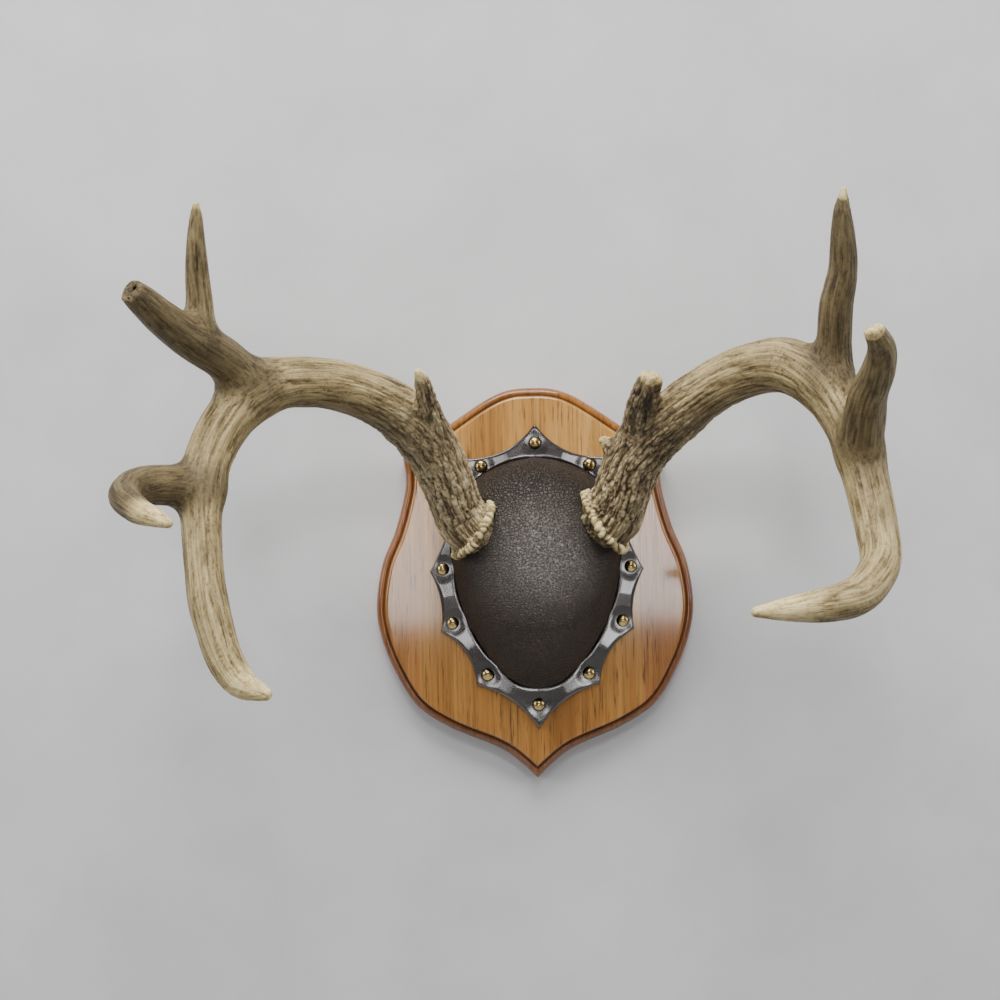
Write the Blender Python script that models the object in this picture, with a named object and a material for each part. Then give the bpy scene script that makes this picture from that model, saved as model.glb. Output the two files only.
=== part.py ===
"""A pair of deer antlers on a shield plaque.

The antlers stand on a leather-covered cap, which is screwed to a carved wooden shield and
edged with a scalloped leather trim and ten brass nails. A keyhole plate let into the
shield's back hangs it on a wall.

Metres. The shield's back is the plane y = 0 with the wall behind it, at +Y. The front faces
-Y, +X is to the right as seen from the front, and +Z is up.
"""

import math

import bmesh
import bpy
from mathutils import Vector

# Clearance kept between pieces that touch.
GAP = 0.0003

# Shield: half outlines as (x, z) knots of a smooth curve, mirrored about x = 0.
PLAQUE_THICKNESS = 0.020
PLAQUE_CREST = [(0.0, 0.1495), (0.018, 0.148), (0.036, 0.1405), (0.064, 0.122), (0.0995, 0.0965)]
PLAQUE_FLANK = [
    (0.0995, 0.0965), (0.0976, 0.0840), (0.0985, 0.0700), (0.1060, 0.0420),
    (0.1165, 0.0160), (0.1212, -0.0140), (0.1185, -0.0380), (0.1085, -0.0650),
    (0.0915, -0.0925), (0.0655, -0.1100), (0.0290, -0.1255), (0.0118, -0.1380),
    (0.0, -0.1495),
]
# Moulded edge as (inset from the outline, height above the back): side, bead, cove and step.
PLAQUE_EDGE = [
    (0.0012, 0.0), (0.0, 0.0015), (0.0, 0.0125), (0.0012, 0.0152),
    (0.0038, 0.0165), (0.0066, 0.0166), (0.0080, PLAQUE_THICKNESS),
]

# Cap: half outline of its base about its own axis, and its height above the shield.
CAP_AXIS_X = 0.0015
CAP_CENTRE_Z = 0.010
CAP_HEIGHT = 0.050
CAP_HALF = [
    (0.0, 0.0960), (0.0210, 0.0920), (0.0420, 0.0820), (0.0560, 0.0650), (0.0625, 0.0350),
    (0.0628, 0.0120), (0.0565, -0.0180), (0.0460, -0.0410), (0.0310, -0.0620),
    (0.0160, -0.0745), (0.0, -0.0790),
]
CAP_SLOPE_ANGLES = [0, 7, 18, 32, 46, 60, 73]
CAP_EDGE_FULLNESS = 0.75
CAP_CROWN_FULLNESS = 0.80
CAP_BASE_Y = -(PLAQUE_THICKNESS + GAP)

# Trim: its points, and how far the edge between one point and the next curves inwards.
TRIM_THICKNESS = 0.003
TRIM_POINTS = [
    (0.0, 0.1217), (0.0530, 0.0958), (0.0812, 0.0103), (0.0734, -0.0353),
    (0.0468, -0.0764), (0.0, -0.1106),
]
TRIM_SAGS = [0.0080, 0.0040, 0.0040, 0.0065, 0.0055]
TRIM_FRONT_Y = CAP_BASE_Y - TRIM_THICKNESS

# Nails, as (x, z) about the cap's axis, clockwise from the top.
NAIL_PLACES = [
    (0.0, 0.1068), (0.0410, 0.0897), (0.0713, 0.0122), (0.0646, -0.0289), (0.0385, -0.0684),
    (0.0, -0.0916), (-0.0385, -0.0684), (-0.0646, -0.0289), (-0.0713, 0.0122), (-0.0410, 0.0897),
]
NAIL_HEAD_RADIUS = 0.0048
NAIL_SHANK_RADIUS = 0.0011
NAIL_SHANK_LENGTH = 0.0115

# Antlers: stations (x, y, z, radius) from the root, inside the parent piece, to the tip.
LEFT_BEAM = [
    (-0.0424, -0.0515, 0.0396, 0.0190), (-0.0462, -0.0534, 0.0428, 0.0255),
    (-0.0535, -0.0578, 0.0520, 0.0212), (-0.0605, -0.0655, 0.0670, 0.0192),
    (-0.0702, -0.0790, 0.0930, 0.0198), (-0.0900, -0.100, 0.1220, 0.0200),
    (-0.1190, -0.120, 0.1400, 0.0182),
    (-0.1500, -0.139, 0.1470, 0.0175), (-0.1800, -0.158, 0.1440, 0.0176),
    (-0.2000, -0.172, 0.1280, 0.0170), (-0.2140, -0.184, 0.1050, 0.0162),
    (-0.2210, -0.194, 0.0770, 0.0148), (-0.2198, -0.205, 0.0410, 0.0129),
    (-0.2150, -0.214, 0.0030, 0.0130), (-0.2060, -0.221, -0.0290, 0.0120),
    (-0.1935, -0.227, -0.0490, 0.0102), (-0.1760, -0.232, -0.0568, 0.0043),
]
LEFT_BROW = [
    (-0.0680, -0.088, 0.0990, 0.0115), (-0.0722, -0.105, 0.1180, 0.0096),
    (-0.0762, -0.122, 0.1350, 0.0073), (-0.0782, -0.134, 0.1470, 0.0053),
    (-0.0802, -0.140, 0.1525, 0.0033),
]
LEFT_SECOND = [
    (-0.1900, -0.164, 0.1420, 0.0150), (-0.2070, -0.186, 0.1600, 0.0144),
    (-0.2228, -0.206, 0.1706, 0.0137), (-0.2370, -0.228, 0.1815, 0.0118),
    (-0.2455, -0.246, 0.1905, 0.0104), (-0.2512, -0.256, 0.1962, 0.0080),
]
LEFT_FORK = [
    (-0.2195, -0.203, 0.1750, 0.0107), (-0.2186, -0.208, 0.1935, 0.0090),
    (-0.2186, -0.214, 0.2120, 0.0077), (-0.2179, -0.221, 0.2304, 0.0062),
    (-0.2166, -0.227, 0.2454, 0.0044), (-0.2157, -0.231, 0.2548, 0.0022),
]
LEFT_THIRD = [
    (-0.2230, -0.191, 0.0745, 0.0132), (-0.2400, -0.206, 0.0768, 0.0130),
    (-0.2556, -0.230, 0.0760, 0.0119), (-0.2590, -0.252, 0.0695, 0.0103),
    (-0.2475, -0.270, 0.0612, 0.0084), (-0.2345, -0.284, 0.0570, 0.0063),
    (-0.2245, -0.294, 0.0532, 0.0034),
]
RIGHT_BEAM = [
    (0.0480, -0.0515, 0.0443, 0.0205), (0.0520, -0.0534, 0.0473, 0.0272),
    (0.0588, -0.0578, 0.0552, 0.0225), (0.0642, -0.0660, 0.0690, 0.0208),
    (0.0724, -0.0800, 0.0925, 0.0208), (0.0848, -0.0910, 0.1088, 0.0206),
    (0.0985, -0.1020, 0.1208, 0.0200), (0.1190, -0.120, 0.1370, 0.0183),
    (0.1450, -0.139, 0.1500, 0.0180), (0.1720, -0.158, 0.1520, 0.0187),
    (0.1942, -0.175, 0.1330, 0.0172), (0.2068, -0.188, 0.1055, 0.0151),
    (0.2138, -0.200, 0.0735, 0.0147), (0.2170, -0.214, 0.0420, 0.0138),
    (0.2148, -0.232, 0.0195, 0.0130), (0.1990, -0.250, 0.0028, 0.0125),
    (0.1780, -0.264, -0.0030, 0.0114), (0.1530, -0.276, -0.0050, 0.0080),
    (0.1270, -0.286, -0.0060, 0.0032),
]
RIGHT_BROW = [
    (0.0745, -0.088, 0.1020, 0.0130), (0.0748, -0.104, 0.1195, 0.0118),
    (0.0768, -0.120, 0.1340, 0.0102), (0.0790, -0.132, 0.1428, 0.0086),
    (0.0800, -0.138, 0.1475, 0.0066),
]
RIGHT_SECOND = [
    (0.1975, -0.172, 0.1410, 0.0150), (0.1980, -0.182, 0.1670, 0.0116),
    (0.1980, -0.191, 0.1890, 0.0111), (0.2010, -0.199, 0.2110, 0.0096),
    (0.2000, -0.206, 0.2290, 0.0084), (0.1983, -0.212, 0.2470, 0.0059),
    (0.1989, -0.217, 0.2612, 0.0020),
]
RIGHT_THIRD = [
    (0.2125, -0.192, 0.0900, 0.0138), (0.2105, -0.212, 0.1112, 0.0136),
    (0.2090, -0.232, 0.1270, 0.0125), (0.2102, -0.256, 0.1415, 0.0107),
    (0.2080, -0.276, 0.1535, 0.0088), (0.1998, -0.291, 0.1640, 0.0058),
]

# Studs that join each antler to the cap, centred under the burr.
STUD_RADIUS = 0.003
STUD_LENGTH = 0.048

# Screws from the shield's back into the cap, on the cap's axis.
CAP_SCREW_HEIGHTS = {"upper_cap_screw": 0.036, "lower_cap_screw": -0.040}
CAP_SCREW_HEAD_RADIUS = 0.0050
CAP_SCREW_RADIUS = 0.0021
CAP_SCREW_HEAD_Y = -0.0040
CAP_SCREW_END_Y = -0.0420
COUNTERBORE_RADIUS = 0.0062
COUNTERBORE_FLOOR_Y = -0.0075

# Keyhole plate, let into the shield's back.
PLATE_CENTRE_Z = 0.082
PLATE_HALF_WIDTH = 0.0090
PLATE_HALF_LENGTH = 0.0240
PLATE_THICKNESS = 0.0016
PLATE_BACK_Y = -0.0018
KEYHOLE_ENTRY_RADIUS = 0.0050
KEYHOLE_SLOT_RADIUS = 0.0027
KEYHOLE_ENTRY_Z = PLATE_CENTRE_Z - 0.0055
KEYHOLE_SLOT_TOP_Z = PLATE_CENTRE_Z + 0.0085
HEAD_ROOM_HALF_WIDTH = 0.0066
HEAD_ROOM_DEPTH_Y = -0.0130
PLATE_SCREW_OFFSET = 0.0180
PLATE_SCREW_RADIUS = 0.0013
PLATE_SCREW_HEAD_RADIUS = 0.0027
PLATE_SCREW_LENGTH = 0.0100

# Facets.
OUTLINE_STEPS = 2
TUBE_STEPS = 2
BEAM_SIDES = 14
TINE_SIDES = 12
ROUND_SIDES = 12
NAIL_SIDES = 8

FINISHES = {
    "plaque_wood": ((0.40, 0.17, 0.055), 0.35, 0.0),
    "cap_leather": ((0.055, 0.045, 0.036), 0.55, 0.0),
    "trim_leather": ((0.040, 0.026, 0.021), 0.30, 0.0),
    "nail_brass": ((0.60, 0.45, 0.20), 0.30, 1.0),
    "hardware_steel": ((0.50, 0.50, 0.50), 0.35, 1.0),
    "antler_bone": ((0.32, 0.24, 0.14), 0.55, 0.0),
}


def clear_scene():
    for old in list(bpy.data.objects):
        bpy.data.objects.remove(old, do_unlink=True)


def make_material(name):
    """A Principled material with the finish's colour, roughness and metallic value."""
    colour, roughness, metallic = FINISHES[name]
    material = bpy.data.materials.new(name)
    material.use_nodes = True
    shader = material.node_tree.nodes["Principled BSDF"]
    shader.inputs["Base Color"].default_value = (*colour, 1.0)
    shader.inputs["Roughness"].default_value = roughness
    shader.inputs["Metallic"].default_value = metallic
    return material


def smooth_path(knots, steps):
    """Points of a Catmull-Rom curve through the knots, with steps points to a span."""
    points = [Vector(knot) for knot in knots]
    before_first = 2 * points[0] - points[1]
    after_last = 2 * points[-1] - points[-2]
    points = [before_first, *points, after_last]
    path = []
    for a, b, c, d in zip(points, points[1:], points[2:], points[3:]):
        for step in range(steps):
            t = step / steps
            linear = (c - a) * t
            square = (2 * a - 5 * b + 4 * c - d) * t ** 2
            cube = (3 * b - 3 * c + d - a) * t ** 3
            path.append(b + 0.5 * (linear + square + cube))
    path.append(points[-2])
    return path


def mirrored(points):
    """The other half of an outline, run the other way."""
    return [Vector((-point[0], point[1])) for point in reversed(points)]


def inset(outline, distance):
    """A clockwise outline moved inwards by distance, with mitred corners."""
    moved = []
    for index, point in enumerate(outline):
        before = (point - outline[index - 1]).normalized()
        after = (outline[(index + 1) % len(outline)] - point).normalized()
        normal_before = Vector((before.y, -before.x))
        normal_after = Vector((after.y, -after.x))
        mitre = (normal_before + normal_after) / (1 + normal_before.dot(normal_after))
        moved.append(point + distance * mitre)
    return moved


def ring_at(outline, y):
    """An (x, z) outline as a ring of points at depth y."""
    return [Vector((point[0], y, point[1])) for point in outline]


def circle(radius, sides, centre_x=0.0, centre_z=0.0):
    angles = [math.tau * side / sides for side in range(sides)]
    return [
        Vector((centre_x + radius * math.sin(angle), centre_z + radius * math.cos(angle)))
        for angle in angles
    ]


def stadium(half_width, low_z, high_z, steps=6):
    """A clockwise slot outline with round ends centred at low_z and high_z."""
    outline = []
    for step in range(steps + 1):
        angle = math.pi * step / steps
        outline.append(Vector((-half_width * math.cos(angle), high_z + half_width * math.sin(angle))))
    for step in range(steps + 1):
        angle = math.pi * step / steps
        outline.append(Vector((half_width * math.cos(angle), low_z - half_width * math.sin(angle))))
    return outline


def loft(shape, rings):
    """Adds a closed body to a bmesh: the rings joined in turn, with a flat cap at each end."""
    loops = [[shape.verts.new(point) for point in ring] for ring in rings]
    count = len(rings[0])
    for lower, upper in zip(loops, loops[1:]):
        for index in range(count):
            following = (index + 1) % count
            shape.faces.new((lower[index], lower[following], upper[following], upper[index]))
    shape.faces.new(loops[0])
    shape.faces.new(loops[-1])


def new_mesh(name, ring_lists):
    """A mesh of one or more lofted bodies, with its faces pointing out."""
    shape = bmesh.new()
    for rings in ring_lists:
        loft(shape, rings)
    bmesh.ops.recalc_face_normals(shape, faces=shape.faces)
    mesh = bpy.data.meshes.new(name)
    shape.to_mesh(mesh)
    shape.free()
    mesh.shade_smooth()
    mesh.set_sharp_from_angle(angle=math.radians(35))
    return mesh


def place(name, mesh, material=None, parent=None):
    piece = bpy.data.objects.new(name, mesh)
    bpy.context.collection.objects.link(piece)
    piece.parent = parent
    if material and not mesh.materials:
        mesh.materials.append(material)
    return piece


def make_cutter(name, ring_lists):
    """A hidden shape that Boolean modifiers take away from other pieces."""
    cutter = place(name, new_mesh(name, ring_lists))
    cutter.hide_render = True
    cutter.display_type = "WIRE"
    return cutter


def cut(piece, cutter):
    modifier = piece.modifiers.new(cutter.name, "BOOLEAN")
    modifier.operation = "DIFFERENCE"
    modifier.solver = "EXACT"
    modifier.object = cutter


def extruded(outline, near_y, far_y):
    return [ring_at(outline, near_y), ring_at(outline, far_y)]


def turned(profile, sides):
    """Rings of a body turned about the Y axis, from (radius, y) pairs."""
    return [ring_at(circle(radius, sides), y) for radius, y in profile]


def plaque_outline():
    crest = smooth_path(mirrored(PLAQUE_CREST)[:-1] + PLAQUE_CREST, OUTLINE_STEPS)
    flank = smooth_path(PLAQUE_FLANK, OUTLINE_STEPS)
    return crest[:-1] + flank[:-1] + mirrored(flank)[:-1]


def cap_outline(grow=0.0):
    half = smooth_path(CAP_HALF, 2)
    outline = half[:-1] + mirrored(half)[:-1]
    centred = [point + Vector((CAP_AXIS_X, 0.0)) for point in outline]
    return inset(centred, -grow)


def cap_rings(grow=0.0):
    """The cap's rings, from its base to the small flat at its crown."""
    outline = cap_outline(grow)
    centre = Vector((CAP_AXIS_X, CAP_CENTRE_Z))
    rings = []
    for degrees in CAP_SLOPE_ANGLES:
        angle = math.radians(degrees)
        scale = math.cos(angle) ** CAP_EDGE_FULLNESS
        shrunk = [centre + scale * (point - centre) for point in outline]
        height = (CAP_HEIGHT + grow) * math.sin(angle) ** CAP_CROWN_FULLNESS
        rings.append(ring_at(shrunk, CAP_BASE_Y - height))
    return rings


def trim_outline():
    """The scalloped edge: arcs that curve inwards between the trim's points."""
    half = []
    for start, end, sag in zip(TRIM_POINTS, TRIM_POINTS[1:], TRIM_SAGS):
        start = Vector(start)
        run = Vector(end) - start
        inwards = Vector((run.y, -run.x)).normalized()
        for step in range(6):
            t = step / 6
            half.append(start + run * t + inwards * (4 * sag * t * (1 - t)))
    half.append(Vector(TRIM_POINTS[-1]))
    outline = half[:-1] + mirrored(half)[:-1]
    return [point + Vector((CAP_AXIS_X, 0.0)) for point in outline]


def tube_rings(stations, sides, grow=0.0):
    """Rings of a round tube through the stations, with a rounded tip."""
    path = smooth_path(stations, TUBE_STEPS)
    centres = [point.to_3d() for point in path]
    radii = [point[3] + grow for point in path]
    ahead = [*centres[1:], 2 * centres[-1] - centres[-2]]
    behind = [2 * centres[0] - centres[1], *centres[:-1]]
    tangents = [(b - a).normalized() for a, b in zip(behind, ahead)]
    centres.append(centres[-1] + tangents[-1] * radii[-1] * 0.6)
    radii.append(radii[-1] * 0.6)
    tangents.append(tangents[-1])
    across = tangents[0].orthogonal().normalized()
    rings = []
    for centre, radius, tangent in zip(centres, radii, tangents):
        across = (across - tangent * across.dot(tangent)).normalized()
        up = tangent.cross(across)
        ring = []
        for side in range(sides):
            angle = math.tau * side / sides
            ring.append(centre + radius * (across * math.cos(angle) + up * math.sin(angle)))
        rings.append(ring)
    return rings


def nail_holes(near_y, far_y):
    """Pilot holes for all the nails, between two depths."""
    radius = NAIL_SHANK_RADIUS + GAP
    return [
        extruded(circle(radius, NAIL_SIDES, x + CAP_AXIS_X, z), near_y, far_y)
        for x, z in NAIL_PLACES
    ]


def cap_screw_holes():
    """Counterbored holes through the shield, carried on into the cap."""
    shank = CAP_SCREW_RADIUS + GAP
    profile = [
        (COUNTERBORE_RADIUS, 0.002), (COUNTERBORE_RADIUS, COUNTERBORE_FLOOR_Y),
        (shank, COUNTERBORE_FLOOR_Y), (shank, CAP_SCREW_END_Y - GAP),
    ]
    holes = []
    for height in CAP_SCREW_HEIGHTS.values():
        rings = turned(profile, ROUND_SIDES)
        offset = Vector((CAP_AXIS_X, 0.0, height))
        holes.append([[point + offset for point in ring] for ring in rings])
    return holes


def make_plaque(material, parent):
    outline = plaque_outline()
    rings = [ring_at(inset(outline, edge), -height) for edge, height in PLAQUE_EDGE]
    plaque = place("shield_plaque", new_mesh("shield_plaque", [rings]), material, parent)
    nail_end_y = TRIM_FRONT_Y + NAIL_SHANK_LENGTH + GAP
    cut(plaque, make_cutter("plaque_nail_holes", nail_holes(nail_end_y, CAP_BASE_Y - GAP)))
    cut(plaque, make_cutter("cap_screw_holes", cap_screw_holes()))
    low_z = PLATE_CENTRE_Z - PLATE_HALF_LENGTH + PLATE_HALF_WIDTH
    high_z = PLATE_CENTRE_Z + PLATE_HALF_LENGTH - PLATE_HALF_WIDTH
    recess = stadium(PLATE_HALF_WIDTH + GAP, low_z, high_z)
    recess_floor_y = PLATE_BACK_Y - PLATE_THICKNESS - GAP
    cut(plaque, make_cutter("plate_recess", [extruded(recess, 0.002, recess_floor_y)]))
    head_room = stadium(HEAD_ROOM_HALF_WIDTH, KEYHOLE_ENTRY_Z, KEYHOLE_SLOT_TOP_Z)
    cut(plaque, make_cutter("head_room", [extruded(head_room, 0.002, HEAD_ROOM_DEPTH_Y)]))
    screw_end_y = PLATE_BACK_Y - PLATE_SCREW_LENGTH - GAP
    cut(plaque, make_cutter("plate_screw_holes", plate_screw_holes(screw_end_y)))
    return plaque


def make_cap(material, parent):
    cap = place("leather_dome", new_mesh("leather_dome", [cap_rings()]), material, parent)
    cut(cap, bpy.data.objects["cap_screw_holes"])
    return cap


def make_trim(material, parent):
    rings = extruded(trim_outline(), CAP_BASE_Y, TRIM_FRONT_Y)
    trim = place("scalloped_trim", new_mesh("scalloped_trim", [rings]), material, parent)
    opening = extruded(cap_outline(GAP), CAP_BASE_Y + 0.001, TRIM_FRONT_Y - 0.001)
    cut(trim, make_cutter("trim_opening", [opening]))
    holes = nail_holes(CAP_BASE_Y + 0.001, TRIM_FRONT_Y - 0.001)
    cut(trim, make_cutter("trim_nail_holes", holes))
    return trim


def make_nails(material, parent):
    """Ten nails that share one mesh, each seated on the trim."""
    head = NAIL_HEAD_RADIUS
    profile = [
        (NAIL_SHANK_RADIUS * 0.5, NAIL_SHANK_LENGTH),
        (NAIL_SHANK_RADIUS, NAIL_SHANK_LENGTH - 0.0025),
        (NAIL_SHANK_RADIUS, -GAP),
        (head, -GAP),
        (head * 0.96, -0.0011),
        (head * 0.72, -0.0024),
        (head * 0.34, -0.0032),
    ]
    mesh = new_mesh("brass_nail", [turned(profile, NAIL_SIDES)])
    for number, (x, z) in enumerate(NAIL_PLACES, start=1):
        nail = place(f"brass_nail_{number:02d}", mesh, material, parent)
        nail.location = (x + CAP_AXIS_X, TRIM_FRONT_Y, z)


def make_antler(side, beam_stations, tines, materials, parent, cap_cutter):
    """One antler's beam and tines: each piece is cut to sit on the one it grows from."""
    bone = materials["antler_bone"]
    beam_name = f"{side}_main_beam"
    beam_mesh = new_mesh(beam_name, [tube_rings(beam_stations, BEAM_SIDES)])
    beam = place(beam_name, beam_mesh, bone, parent)
    cut(beam, cap_cutter)
    stud_hole = make_stud(side, beam_stations, materials["hardware_steel"], parent)
    cut(beam, stud_hole)
    cut(bpy.data.objects["leather_dome"], stud_hole)
    outer = {"main_beam": make_cutter(
        f"{beam_name}_outer", [tube_rings(beam_stations, BEAM_SIDES, GAP)])}
    for name, root, stations in tines:
        mesh = new_mesh(f"{side}_{name}", [tube_rings(stations, TINE_SIDES)])
        tine = place(f"{side}_{name}", mesh, bone, parent)
        cut(tine, outer["main_beam"])
        if root != "main_beam":
            cut(tine, outer[root])
        outer[name] = make_cutter(
            f"{side}_{name}_outer", [tube_rings(stations, TINE_SIDES, GAP)])


def make_stud(side, beam_stations, material, parent):
    """A steel stud along the beam's base, and the cutter for its hole."""
    below, burr, above = [Vector(station[:3]) for station in beam_stations[:3]]
    direction = (above - below).normalized()
    turn = Vector((0.0, -1.0, 0.0)).rotation_difference(direction)
    half = STUD_LENGTH / 2
    stud_rings = turned([(STUD_RADIUS, half), (STUD_RADIUS, -half)], ROUND_SIDES)
    hole_radius = STUD_RADIUS + GAP
    hole_rings = turned([(hole_radius, half + GAP), (hole_radius, -half - GAP)], ROUND_SIDES)
    stud = place(f"{side}_antler_stud", new_mesh("antler_stud", [stud_rings]), material, parent)
    hole = make_cutter(f"{side}_stud_hole", [hole_rings])
    for piece in (stud, hole):
        piece.location = burr
        piece.rotation_mode = "QUATERNION"
        piece.rotation_quaternion = turn
    return hole


def make_cap_screws(material, parent):
    profile = [
        (CAP_SCREW_HEAD_RADIUS * 0.8, CAP_SCREW_HEAD_Y),
        (CAP_SCREW_HEAD_RADIUS, CAP_SCREW_HEAD_Y - 0.0012),
        (CAP_SCREW_HEAD_RADIUS, COUNTERBORE_FLOOR_Y + GAP),
        (CAP_SCREW_RADIUS, COUNTERBORE_FLOOR_Y + GAP),
        (CAP_SCREW_RADIUS, CAP_SCREW_END_Y + 0.005),
        (CAP_SCREW_RADIUS * 0.4, CAP_SCREW_END_Y),
    ]
    mesh = new_mesh("cap_screw", [turned(profile, ROUND_SIDES)])
    for name, height in CAP_SCREW_HEIGHTS.items():
        screw = place(name, mesh, material, parent)
        screw.location = (CAP_AXIS_X, 0.0, height)


def plate_screw_places():
    return {
        "upper_plate_screw": PLATE_CENTRE_Z + PLATE_SCREW_OFFSET,
        "lower_plate_screw": PLATE_CENTRE_Z - PLATE_SCREW_OFFSET,
    }


def plate_screw_holes(end_y):
    outline_radius = PLATE_SCREW_RADIUS + GAP
    return [
        extruded(circle(outline_radius, NAIL_SIDES, 0.0, height), 0.002, end_y)
        for height in plate_screw_places().values()
    ]


def make_keyhole_plate(material, parent):
    """The hanging plate: a round entry that narrows to a slot above it."""
    low_z = PLATE_CENTRE_Z - PLATE_HALF_LENGTH + PLATE_HALF_WIDTH
    high_z = PLATE_CENTRE_Z + PLATE_HALF_LENGTH - PLATE_HALF_WIDTH
    front_y = PLATE_BACK_Y - PLATE_THICKNESS
    rings = extruded(stadium(PLATE_HALF_WIDTH, low_z, high_z), PLATE_BACK_Y, front_y)
    plate = place("keyhole_plate", new_mesh("keyhole_plate", [rings]), material, parent)
    entry = circle(KEYHOLE_ENTRY_RADIUS, 16, 0.0, KEYHOLE_ENTRY_Z)
    slot = stadium(KEYHOLE_SLOT_RADIUS, KEYHOLE_ENTRY_Z, KEYHOLE_SLOT_TOP_Z)
    cut(plate, make_cutter("keyhole_entry", [extruded(entry, 0.002, front_y - 0.002)]))
    cut(plate, make_cutter("keyhole_slot", [extruded(slot, 0.002, front_y - 0.002)]))
    cut(plate, bpy.data.objects["plate_screw_holes"])


def make_plate_screws(material, parent):
    profile = [
        (PLATE_SCREW_HEAD_RADIUS * 0.75, 0.0013),
        (PLATE_SCREW_HEAD_RADIUS, 0.0008),
        (PLATE_SCREW_HEAD_RADIUS, GAP),
        (PLATE_SCREW_RADIUS, GAP),
        (PLATE_SCREW_RADIUS, -PLATE_SCREW_LENGTH + 0.002),
        (PLATE_SCREW_RADIUS * 0.4, -PLATE_SCREW_LENGTH),
    ]
    mesh = new_mesh("plate_screw", [turned(profile, NAIL_SIDES)])
    for name, height in plate_screw_places().items():
        screw = place(name, mesh, material, parent)
        screw.location = (0.0, PLATE_BACK_Y, height)


def main():
    clear_scene()
    materials = {name: make_material(name) for name in FINISHES}
    mount = bpy.data.objects.new("antler_mount", None)
    bpy.context.collection.objects.link(mount)
    make_plaque(materials["plaque_wood"], mount)
    make_cap(materials["cap_leather"], mount)
    make_trim(materials["trim_leather"], mount)
    make_nails(materials["nail_brass"], mount)
    make_cap_screws(materials["hardware_steel"], mount)
    make_keyhole_plate(materials["hardware_steel"], mount)
    make_plate_screws(materials["hardware_steel"], mount)
    cap_skirt = ring_at(cap_outline(GAP), -PLAQUE_THICKNESS / 2)
    cap_cutter = make_cutter("cap_outer", [[cap_skirt, *cap_rings(GAP)]])
    left_tines = [
        ("brow_tine", "main_beam", LEFT_BROW),
        ("second_tine", "main_beam", LEFT_SECOND),
        ("second_tine_fork", "second_tine", LEFT_FORK),
        ("third_tine", "main_beam", LEFT_THIRD),
    ]
    right_tines = [
        ("brow_tine", "main_beam", RIGHT_BROW),
        ("second_tine", "main_beam", RIGHT_SECOND),
        ("third_tine", "main_beam", RIGHT_THIRD),
    ]
    make_antler("left", LEFT_BEAM, left_tines, materials, mount, cap_cutter)
    make_antler("right", RIGHT_BEAM, right_tines, materials, mount, cap_cutter)


main()
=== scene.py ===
"""Looks of the deer antlers on their shield plaque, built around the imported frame.

Metres, in the frame's own axes: the wall is the plane y = 0, the front faces -Y, +Z is up.
"""

import itertools
import math

import bmesh
import bpy
import numpy as np
from mathutils import Matrix, Vector


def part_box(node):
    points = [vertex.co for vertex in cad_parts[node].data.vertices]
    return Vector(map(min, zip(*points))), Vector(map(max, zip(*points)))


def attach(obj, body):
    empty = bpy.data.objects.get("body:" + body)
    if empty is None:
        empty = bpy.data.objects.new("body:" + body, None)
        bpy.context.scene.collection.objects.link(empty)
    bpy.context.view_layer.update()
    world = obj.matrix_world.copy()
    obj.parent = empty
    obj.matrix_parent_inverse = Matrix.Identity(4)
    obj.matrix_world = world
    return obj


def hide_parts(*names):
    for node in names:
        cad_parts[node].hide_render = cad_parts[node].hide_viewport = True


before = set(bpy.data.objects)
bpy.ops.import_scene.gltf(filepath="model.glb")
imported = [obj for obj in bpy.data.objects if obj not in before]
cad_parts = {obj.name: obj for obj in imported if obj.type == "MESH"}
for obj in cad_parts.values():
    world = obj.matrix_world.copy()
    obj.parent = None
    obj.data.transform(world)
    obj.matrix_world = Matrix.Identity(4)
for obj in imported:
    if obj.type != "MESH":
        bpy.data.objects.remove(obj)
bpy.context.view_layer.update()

MM = 0.001
CAP_LOW, CAP_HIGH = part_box("leather_dome")
CAP_AXIS_X = (CAP_LOW.x + CAP_HIGH.x) / 2
TRIM_LOW, TRIM_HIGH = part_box("scalloped_trim")

# Shield: half outlines as (x, z) knots, and the moulded edge as (inset, height above the back).
PLAQUE_CREST = [(0.0, 0.1495), (0.018, 0.148), (0.036, 0.1405), (0.064, 0.122), (0.0995, 0.0965)]
PLAQUE_FLANK = [
    (0.0995, 0.0965), (0.0976, 0.084), (0.0985, 0.07), (0.106, 0.042),
    (0.1165, 0.016), (0.1212, -0.014), (0.1185, -0.038), (0.1085, -0.065),
    (0.0915, -0.0925), (0.0655, -0.11), (0.029, -0.1255), (0.0118, -0.138),
    (0.0, -0.1495),
]
PLAQUE_EDGE = [
    (0.0012, 0.0), (0.0003, 0.0004), (0.0, 0.0012), (0.0, 0.01), (0.0002, 0.0118),
    (0.0008, 0.0134), (0.0017, 0.0147), (0.0028, 0.0155), (0.004, 0.0158), (0.005, 0.0155),
    (0.0056, 0.0149), (0.006, 0.0148), (0.0064, 0.0152), (0.0067, 0.0163), (0.007, 0.018),
    (0.0074, 0.0194), (0.0081, 0.0199), (0.0086, 0.02), (0.0094, 0.02),
]
# The dark line painted along the step in the moulded edge is a painted shadow.
GROOVE_INSET = 0.0061
GROOVE_HALF_WIDTH = 0.001
GROOVE_SHADOW_DARKNESS = 0.85
LEFT_SEAM_X = -0.0885
RIGHT_SEAM_X = 0.08
SHARP_ANGLE = math.radians(38)

# Cuts in the shield's back: room for the wall screw's head, and the cap screws' counterbores.
HEAD_ROOM_HALF_WIDTH = 0.0066
HEAD_ROOM_BELOW_MIDDLE = 0.0055
HEAD_ROOM_ABOVE_MIDDLE = 0.0085
HEAD_ROOM_Y = -0.013
COUNTERBORE_RADIUS = 0.0062
COUNTERBORE_Y = -0.0075
CUT_START_Y = 0.002
CUT_GAP = 0.0003

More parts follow.
